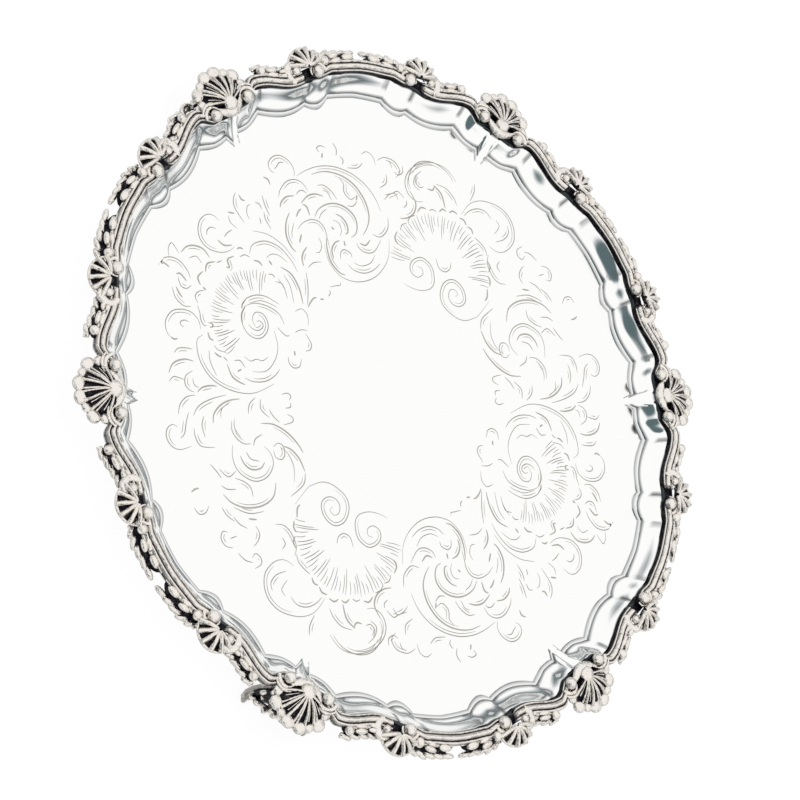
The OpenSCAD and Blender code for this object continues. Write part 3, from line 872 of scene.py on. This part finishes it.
def blob(name, x, y, z, rx, ry, rz, turn=0, dark=0.0):
    """A rounded boss or bead, squashed to its size, with painted shade below its middle; dark is the least
    dullness all over it.
    """
    deselect()
    bpy.ops.mesh.primitive_uv_sphere_add(segments=24, ring_count=14, radius=1)
    piece = bpy.context.object
    piece.name = piece.data.name = name
    low = np.array([vertex.co.z for vertex in piece.data.vertices])
    piece.data.transform(Matrix.Translation(Vector((x, y, z)) * MM)
                         @ Matrix.Rotation(math.radians(turn), 4, "Z")
                         @ Matrix.Diagonal((rx * MM, ry * MM, rz * MM, 1)))
    set_tarnish_and_shade(piece, np.maximum(dark, np.clip(0.5 - low * 1.7, 0, 1)))
    return piece


def horn(name, path, radii, sides=14, flat=1.0, up=(0, 0, 1), dark=0.9):
    """A tapering bar along a path of points; its under side and flanks carry painted shade, as deep as dark.
    """
    path = np.array(path, float)
    radii = np.array(radii, float)
    along = np.gradient(path, axis=0)
    along /= np.linalg.norm(along, axis=1)[:, None]
    side = np.cross(along, np.array(up, float))
    side /= np.linalg.norm(side, axis=1)[:, None]
    over = np.cross(side, along)
    n = len(path) - 1

    def place(u, v):
        i = np.rint(u * n).astype(int)
        a = 2 * np.pi * v
        ring = (np.cos(a)[:, None] * side[i] + np.sin(a)[:, None] * over[i] * flat) * radii[i][:, None]
        p = path[i] + ring
        return p[:, 0], p[:, 1], p[:, 2], np.clip(0.5 - np.sin(a) * 1.4, 0, 1) * dark

    piece = skin(name, n, sides, place)
    edit_all(lambda: bpy.ops.mesh.fill_holes(sides=0), outwards)
    return piece


def arc_path(x, y, z, r0, r1, a0, a1, z1=None, steps=20):
    """Path on an arc about x, y whose radius, angle and height run evenly to their last values."""
    t = np.linspace(0, 1, steps + 1)
    r, a = r0 + (r1 - r0) * t, np.radians(a0 + (a1 - a0) * t)
    return np.stack([x + r * np.cos(a), y + r * np.sin(a), z + ((z if z1 is None else z1) - z) * t], 1)


def taper(start, middle, end, steps=20):
    """Radii of a bar at its start, middle and end, and between them."""
    return np.interp(np.linspace(0, 1, steps + 1), [0, 0.5, 1], [start, middle, end])


def fan_plate(name, x, y, z, aim, spread, reach, drop, rise, dark):
    """Hollow of a shell: a fan about its hinge, domed along its length and round at its rim."""
    across, along = 48, 16

    def place(u, v):
        under = v > 0.6
        share = np.where(under, (1 - v) / 0.4, v / 0.6)
        phi = (2 * u - 1) * spread
        a = np.radians(aim + phi)
        r = reach * (1 - 0.16 * (phi / spread) ** 2) * share
        top = z + rise * np.sin(np.pi * share**0.8) - drop * share**2
        low = z - 1.4 - drop * share**2
        # The underside is painted dark as shade; the top takes dark, the tarnish of the shell's hollow
        return x + r * np.cos(a), y + r * np.sin(a), np.where(under, low, top), np.where(under, 0.8, dark)

    piece = skin(name, across, along, place)
    edit_all(lambda: bpy.ops.mesh.fill_holes(sides=0), outwards)
    return piece


def rib(name, x, y, z, angle, near, far, drop, rise, thick, reach):
    """A rib of a shell from near to far of the hinge, on the dome that fan_plate makes."""
    share = np.linspace(near / reach, far / reach, 13)
    a = math.radians(angle)
    height = z + rise * np.sin(np.pi * np.clip(share, 0, 1) ** 0.8) - drop * share**2 + thick * 0.5
    path = np.stack([x + share * reach * math.cos(a), y + share * reach * math.sin(a), height], 1)
    return horn(name, path, np.linspace(thick * 0.6, thick, 13), sides=10, flat=1.2, dark=0.8)


# Ribs of the large shell on one side: angle, thickness and how far out they end
LARGE_RIBS = ((3, 0.55, 13.4), (19, 0.8, 14), (38, 0.75, 13.2), (46, 0.5, 12), (70, 0.7, 12))
LARGE_THIN_RIBS = ((27, 0.35, 11.4), (58, 0.3, 10))
# Round ends of the large shell: angle, distance from the hinge, half length, half width, height
LARGE_LOBES = ((11.5, 14.2, 2.8, 3.2, 1.7), (49, 13.9, 2.8, 3.2, 1.7), (30.5, 13.8, 2.0, 2.2, 1.2),
               (70, 12.4, 2.2, 2.4, 1.4))


def make_large_shell():
    """The large shell at turn 0: fan, ribs, round ends, two scroll eyes, heel and apron."""
    x, top = STRIP_MID + 1.9, LIP_Z + 3.3
    reach, drop, rise = 15.2, 3.6, 1.5
    parts = [fan_plate("plate", x, 0, top - 0.8, 0, 82, reach, drop, rise, 1.0)]
    for s in (-1, 1):
        for angle, thick, far in LARGE_RIBS:
            parts.append(rib("rib", x, 0, top - 0.8, s * angle, 2, far, drop, rise, thick, reach))
        for angle, thick, far in LARGE_THIN_RIBS:
            parts.append(rib("rib", x, 0, top - 1.1, s * angle, 4.5, far, drop, rise, thick, reach))
        for angle, out, long, wide, high in LARGE_LOBES:
            a = math.radians(s * angle)
            z = top - 0.6 - drop * (out / reach) ** 2 + 0.5
            at = (x + out * math.cos(a), out * math.sin(a), z)
            parts.append(blob("lobe", *at, long, wide, high, s * angle))
        eye = (STRIP_MID + 0.1, s * 9.7)
        parts.append(blob("eye", *eye, top - 0.5, 2.7, 2.7, 2.4))
        hook = arc_path(*eye, top - 1.3, 4.6, 3.4, s * 85, -s * 75)
        parts.append(horn("hook", hook, taper(1.0, 0.9, 0.4)))
        brow = arc_path(*eye, top - 1.0, 6.0, 5.4, s * 60, -s * 40)
        parts.append(horn("brow", brow, taper(0.4, 0.8, 0.4)))
    parts.append(blob("heel", x - 0.3, 0, top - 0.2, 3.3, 3.6, 1.9))
    apron = arc_path(x + 6.4, 0, top - 1.6, 9.6, 9.6, 180 - 52, 180 + 52)
    parts.append(horn("apron", apron, taper(0.9, 2.9, 0.9), flat=0.75))
    piece = join("large_shell", parts)
    smooth(piece, 40)
    return piece


# Angles of the small shell's ribs, and the turns of its two scrolls' ball and bead
SMALL_RIBS = (-76, -46, -16, 16, 46, 76)
BALL_TURN = 20.3
BEAD_TURN = 15.9


def make_small_shell():
    """The small shell at the positive side, between a scroll with a bead and one with a ball."""
    aim = STRIP_SMALL_TURN - 3
    top = LIP_Z + 2.9
    (x, y, _), _ = on_edge(STRIP_SMALL_TURN, 0.2, 0)
    reach, drop, rise = 8.8, 1.4, 0.9
    parts = [fan_plate("plate", x, y, top - 0.6, aim, 84, reach, drop, rise, 1.0)]
    for angle in SMALL_RIBS:
        parts.append(rib("rib", x, y, top - 0.6, aim + angle, 0.8, 8.6, drop, rise, 1.25, reach))
    rim = arc_path(x, y, top - 1.8, reach - 0.2, reach - 0.2, aim - 84, aim + 84, steps=28)
    parts.append(horn("rim", rim, taper(0.5, 0.7, 0.5, steps=28)))
    ball = polar(strip_inner(np.array(BALL_TURN)) + 2.4, BALL_TURN, top - 0.4)
    parts.append(blob("ball", *ball, 2.8, 2.8, 2.4))
    hook = arc_path(*ball[:2], top - 1.0, 4.2, 3.3, BALL_TURN + 75, BALL_TURN - 110)
    parts.append(horn("ball_hook", hook, taper(0.9, 0.8, 0.4)))
    bead = polar(strip_outer(np.array(BEAD_TURN)) + 0.4, BEAD_TURN, top - 0.8)
    parts.append(blob("bead", *bead, 1.9, 1.9, 1.7))
    tip = arc_path(*bead[:2], top - 1.6, 4.6, 3.2, BEAD_TURN - 160, BEAD_TURN + 80)
    parts.append(horn("tip", tip, taper(1.6, 1.9, 0.6), flat=0.8))
    piece = join("small_shell", parts)
    smooth(piece, 40)
    return piece


def leaf_pair(turn, out, z, long, wide, lean=0):
    """A pointed leaf folded down its middle: two cheeks with a dark line between them."""
    (x, y, z), way = on_edge(turn, out, z)
    a = math.radians(way + lean)
    cheeks = []
    for s in (-1, 1):
        dx, dy = -math.sin(a) * s * wide * 0.5, math.cos(a) * s * wide * 0.5
        cheeks.append(blob("cheek", x + dx, y + dy, z, long, wide * 0.55, wide * 0.62, way + lean))
    return cheeks


def spray_web(first, last, reach, z):
    """The web of a spray, sloping down and out from the strip's edge, dark all over: oxide and painted
    shadow under the leaves.
    """
    steps = 20
    turns = np.linspace(first, last, steps + 1)

    def place(u, v):
        turn = turns[np.rint(u * steps).astype(int)]
        swell = np.sin(np.pi * u) ** 0.5
        way = 2 * np.pi * v
        out = (0.5 + 0.5 * np.cos(way)) * reach * swell
        up = z - 0.55 * out + 0.5 * np.sin(way)
        return (*polar(strip_outer(turn) - 0.4 + out, turn, up), 1.0)

    web = skin("web", steps, 12, place)
    edit_all(lambda: bpy.ops.mesh.fill_holes(sides=0), outwards)
    return web


def leaf_edge(leaves, reach, z, long, wide):
    """A rim along the outer edge of a web and the leaves that curl over it: turn and lean of each."""
    turns = np.linspace(leaves[0][0] - 1, leaves[-1][0] + 0.6, 15)
    rim = [on_edge(turn, reach, z - 0.2)[0] for turn in turns]
    parts = [horn("rim", rim, taper(0.8, 1.15, 0.8, steps=14), dark=0.5)]
    for turn, lean in leaves:
        (x, y, _), way = on_edge(turn, reach, z)
        parts.append(blob("leaf_tip", x, y, z, long, wide, wide * 0.9, way - lean))
        vein = (x, y, z + wide * 0.62)
        parts.append(blob("leaf_vein", *vein, long * 0.8, wide * 0.25, wide * 0.3, way - lean))
    return parts


# Leaves over the rim of each spray: turn and lean in degrees
INNER_LEAVES = ((9.4, 30), (10.9, 26), (12.5, 22), (14.1, 18))
LOOP_TURN = 21.3
SEAM_LEAVES = ((21.8, 34), (23.4, 28), (25.0, 22), (26.7, 14), (28.4, 6))


def make_inner_spray():
    """The spray between a large and a small shell: a bead, two leaves and a leafy rim."""
    z = LIP_Z + 1.0
    (x, y, _), _ = on_edge(9.3, 1.3, z)
    parts = [spray_web(8.0, 15.8, 4.0, LIP_Z), blob("bead", x, y, z, 2.2, 2.1, 1.8)]
    parts += leaf_pair(11.4, 0.9, z, 3.1, 2.0, -6)
    parts += leaf_pair(13.9, 0.8, z, 3.0, 1.9, -4)
    path = [on_edge(t, 0.1, LIP_Z + 0.2)[0] for t in np.linspace(8.6, 15.2, 14)]
    parts.append(horn("stem", path, taper(0.7, 1.0, 0.7, steps=13)))
    parts += leaf_edge(INNER_LEAVES, 3.5, LIP_Z - 1.8, 3.0, 1.25)
    piece = join("inner_spray", parts)
    smooth(piece, 40)
    return piece


def make_seam_spray():
    """The spray between a small shell and the seam: a bud in a loop, leaves and a leafy rim."""
    z = LIP_Z + 1.1
    (x, y, _), _ = on_edge(22.3, 0.7, z)
    parts = [spray_web(20.2, 29.4, 4.4, LIP_Z), blob("bud", x, y, z + 0.6, 2.3, 2.1, 2.0)]
    middle = polar(strip_outer(np.array(LOOP_TURN)) - 1.0, LOOP_TURN, 0)
    loop = arc_path(*middle[:2], z + 0.5, 3.1, 3.2, LOOP_TURN - 110, LOOP_TURN + 70)
    parts.append(horn("loop", loop, taper(0.5, 0.95, 0.6)))
    parts += leaf_pair(24.6, 0.9, z, 2.9, 2.3, -15)
    (x, y, _), way = on_edge(27.3, 1.1, z)
    parts.append(blob("long_bead", x, y, z, 3.1, 1.6, 1.5, way - 4))
    path = [on_edge(t, 0.0, LIP_Z + 0.2)[0] for t in np.linspace(20.8, 29.4, 16)]
    parts.append(horn("stem", path, taper(0.6, 1.0, 0.4, steps=15)))
    parts += leaf_edge(SEAM_LEAVES, 3.9, LIP_Z - 2.0, 3.2, 1.35)
    piece = join("seam_spray", parts)
    smooth(piece, 40)
    return piece


# ---- Foot ----------------------------------------------------------------------------------------
# Side of a toe's middle and radius of its curl
TOE_SIDE, TOE_R = 15.0, 3.0
# Thickness of the panel behind, its bedding and the reach of a toe
PANEL_T, BED, TOE_REACH = 3.0, 0.5, 7.4
TOE_OUT = STRIP_MID + STRIP_W / 2 - PANEL_T + BED + TOE_REACH
CURL_STEPS = 34
# Leaves of the bracket: side and height
FOOT_LEAVES = ((13.4, 12.6), (11.0, 17.0), (6.4, 8.4), (6.0, 15.6))


def make_foot():
    """Two curled toes and a pierced bracket of leaves between them, under the shell."""
    low, high = TOE_R - 0.4, LIP_Z - SHEET_T
    back = TOE_OUT - 6.4
    # Three webs behind the bracket, dark all over: oxide, and painted shade in the openings of the piercing
    parts = [blob("web", TOE_OUT - 1.8, side, 10.6, 1.2, 6.6, 8.4, dark=1.0) for side in (-9, 0, 9)]
    for s in (-1, 1):
        side = s * TOE_SIDE
        turns = np.radians(np.linspace(170, 560, CURL_STEPS))
        radius = np.linspace(TOE_R - 0.75, 0.9, CURL_STEPS)
        out, up = TOE_OUT + radius * np.cos(turns), low + radius * np.sin(turns)
        curl = np.stack([out, np.full(CURL_STEPS, side), up], 1)
        leg = [(back + 1, side * 0.62, high + 0.4), (back + 1.6, side * 0.72, high - 5),
               (back + 2.8, side * 0.88, high - 10), (back + 3.6, side, low + 3.2)]
        path = np.vstack([curve_through(leg, 5)[:-1], curl])
        sizes = np.interp(np.linspace(0, 1, len(path)), [0, 0.3, 0.5, 1], [2.6, 1.7, 1.1, 0.6])
        parts.append(horn("toe", path, sizes, flat=0.8, up=(0, 1, 0), dark=0.6))
        parts.append(blob("toe_eye", TOE_OUT, side, low, 1.0, 2.4, 1.0, dark=0.2))
        scroll = arc_path(TOE_OUT + 0.4, s * 10.2, 9.4, 4.2, 1.4, 90 + s * 80, 90 - s * 200, 11.0)
        parts.append(horn("scroll", scroll, taper(1.2, 1.1, 0.7), dark=0.7))
        for k, (y, z) in enumerate(FOOT_LEAVES):
            parts.append(blob("leaf", TOE_OUT - 1.2 - 0.3 * k, s * y, z, 1.3, 1.3, 2.7))
    low_band = [(TOE_OUT + 1.6 - 0.012 * y * y, y, 5.6 - 0.008 * y * y)
                for y in np.linspace(-TOE_SIDE, TOE_SIDE, 25)]
    parts.append(horn("low_band", low_band, taper(1.3, 1.9, 1.3, 24), up=(1, 0, 0), flat=0.8, dark=0.6))
    for side in (-11, -6.5, -2.2, 2.2, 6.5, 11):
        parts.append(blob("low_leaf", TOE_OUT + 2.4 - 0.012 * side * side, side, 5.8, 1.4, 1.7, 1.6))
    parts.append(blob("middle_leaf", TOE_OUT - 0.4, 0, 11.4, 1.8, 2.6, 4.6))
    band = [(back + 1.0, y, high - 2.2 - 0.02 * (15 * 15 - y * y)) for y in np.linspace(-16, 16, 21)]
    parts.append(horn("band", band, taper(2.6, 2.8, 2.6), up=(1, 0, 0), flat=0.6, dark=0.4))
    piece = join("foot", parts)
    smooth(piece, 40)
    return piece


# ---- Making, colouring and placing ---------------------------------------------------------------
make_camera()
make_world()
make_floor()
bpy.context.scene.view_settings.view_transform = "Standard"

BUFFED = silver_tray()
CUT = silver_cut()
CAST = silver_cast()


def finish_piece(piece, node):
    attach(piece, "root")
    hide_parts(node)


finish_piece(make_tray(engraving()), "tray_body")

patterns = {
    "border_strip": make_strip(),
    "large_shell": make_large_shell(),
    "small_shell": make_small_shell(),
    "inner_spray": make_inner_spray(),
    "seam_spray": make_seam_spray(),
    "foot": make_foot(),
}
for pattern in patterns.values():
    pattern.data.materials.append(CAST)
for i in range(SECTORS):
    turn = i * SECTOR_TURN
    for kind in ("border_strip", "large_shell"):
        piece = turned_copy(patterns[kind], f"{kind}_piece_{i + 1}", turn)
        finish_piece(piece, f"{kind}_{i + 1}")
    for kind in ("small_shell", "inner_spray", "seam_spray"):
        for number, flip in ((2 * i + 1, True), (2 * i + 2, False)):
            piece = turned_copy(patterns[kind], f"{kind}_piece_{number}", turn, flip)
            finish_piece(piece, f"{kind}_{number}")
    if i % 2 == 0:
        piece = turned_copy(patterns["foot"], f"foot_piece_{i // 2 + 1}", turn)
        finish_piece(piece, f"foot_{i // 2 + 1}")
for pattern in patterns.values():
    bpy.data.objects.remove(pattern)
